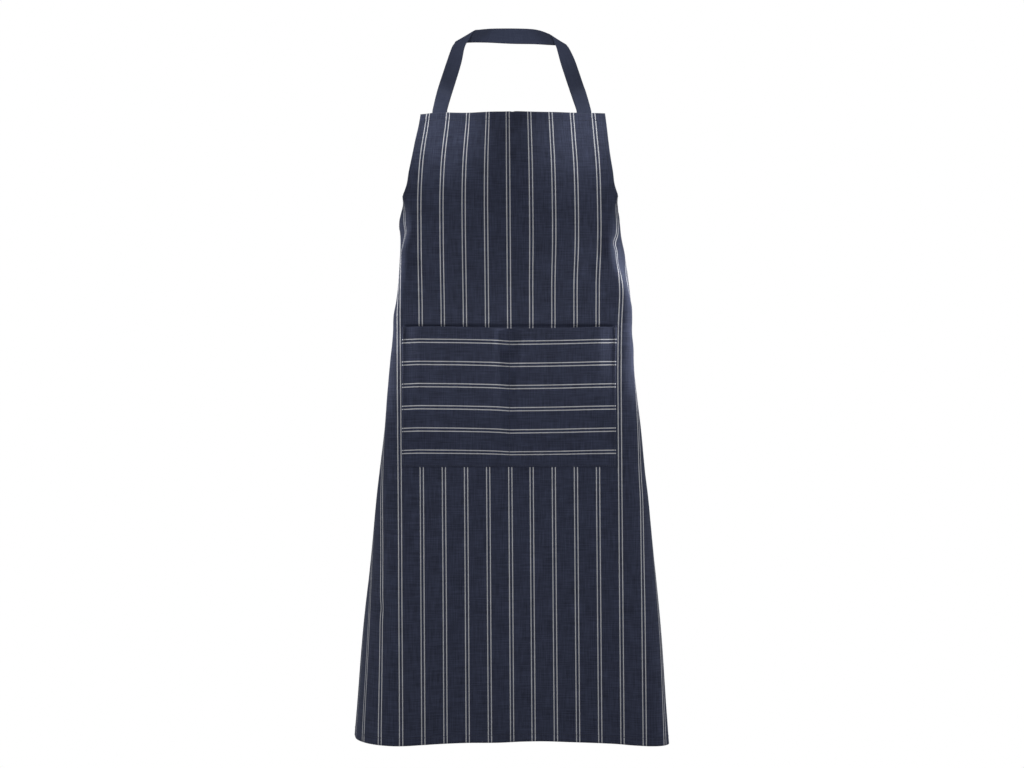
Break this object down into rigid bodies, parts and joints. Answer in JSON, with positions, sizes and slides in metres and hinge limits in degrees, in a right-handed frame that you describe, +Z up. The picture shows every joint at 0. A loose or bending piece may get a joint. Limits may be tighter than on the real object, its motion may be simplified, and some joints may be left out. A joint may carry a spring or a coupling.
{
  "type": "bib apron",
  "caption": "Full-length striped cotton bib apron with a neck strap, a divided front pocket and waist ties in a bow behind, shaped as worn.",
  "frame": {"origin": "middle of the neck strap's inner face, where it rests on the back of the neck", "axes": "+Z up, -Y towards the apron's front, +X to the right as seen from the front"},
  "size_m": [0.4734, 0.2313, 1.1061],
  "materials": {
    "striped_cotton": "plain-woven navy cotton with fine off-white double stripes",
    "cotton_tape": "navy woven cotton tape",
    "sewing_thread": "navy sewing thread"
  },
  "bodies": {
    "neck_loop": {"neck_strap": "cotton_tape"},
    "apron": {"main_panel": "striped_cotton", "pocket_panel": "striped_cotton", "bib_hem": "striped_cotton", "armhole_hem_left": "striped_cotton", "armhole_hem_right": "striped_cotton", "side_hem_left": "striped_cotton", "side_hem_right": "striped_cotton", "bottom_hem": "striped_cotton", "pocket_hem": "striped_cotton", "strap_end_left": "cotton_tape", "strap_end_right": "cotton_tape", "waist_tie_left": "cotton_tape", "waist_tie_right": "cotton_tape", "bow_knot": "cotton_tape", "bib_hem_stitching": "sewing_thread", "armhole_stitching_left": "sewing_thread", "armhole_stitching_right": "sewing_thread", "side_hem_stitching_left": "sewing_thread", "side_hem_stitching_right": "sewing_thread", "bottom_hem_stitching": "sewing_thread", "pocket_hem_stitching": "sewing_thread", "pocket_edge_stitching": "sewing_thread", "pocket_divider_stitching": "sewing_thread", "pocket_bartack_left": "sewing_thread", "pocket_bartack_right": "sewing_thread", "waist_tie_stitching_left": "sewing_thread", "waist_tie_stitching_right": "sewing_thread"},
    "left_bow_loop": {"bow_loop_left": "cotton_tape"},
    "right_bow_loop": {"bow_loop_right": "cotton_tape"},
    "left_tail": {"tie_tail_left": "cotton_tape"},
    "right_tail": {"tie_tail_right": "cotton_tape"}
  },
  "joints": [
    {"name": "bib_swing", "type": "hinge", "parent": "neck_loop", "child": "apron", "pos_m": [0, -0.14248, -0.14182], "axis": [-1, 0, 0], "range_deg": [-15, 80]},
    {"name": "left_bow_loop_swing", "type": "hinge", "parent": "apron", "child": "left_bow_loop", "pos_m": [-0.0142, 0.02, -0.425], "axis": [1, 0, 0], "range_deg": [-10, 100]},
    {"name": "right_bow_loop_swing", "type": "hinge", "parent": "apron", "child": "right_bow_loop", "pos_m": [0.0142, 0.02, -0.425], "axis": [1, 0, 0], "range_deg": [-10, 100]},
    {"name": "left_tail_swing", "type": "hinge", "parent": "apron", "child": "left_tail", "pos_m": [-0.007, 0.02, -0.438], "axis": [1, 0, 0], "range_deg": [-10, 110]},
    {"name": "right_tail_swing", "type": "hinge", "parent": "apron", "child": "right_tail", "pos_m": [0.007, 0.02, -0.438], "axis": [1, 0, 0], "range_deg": [-10, 110]}
  ]
}
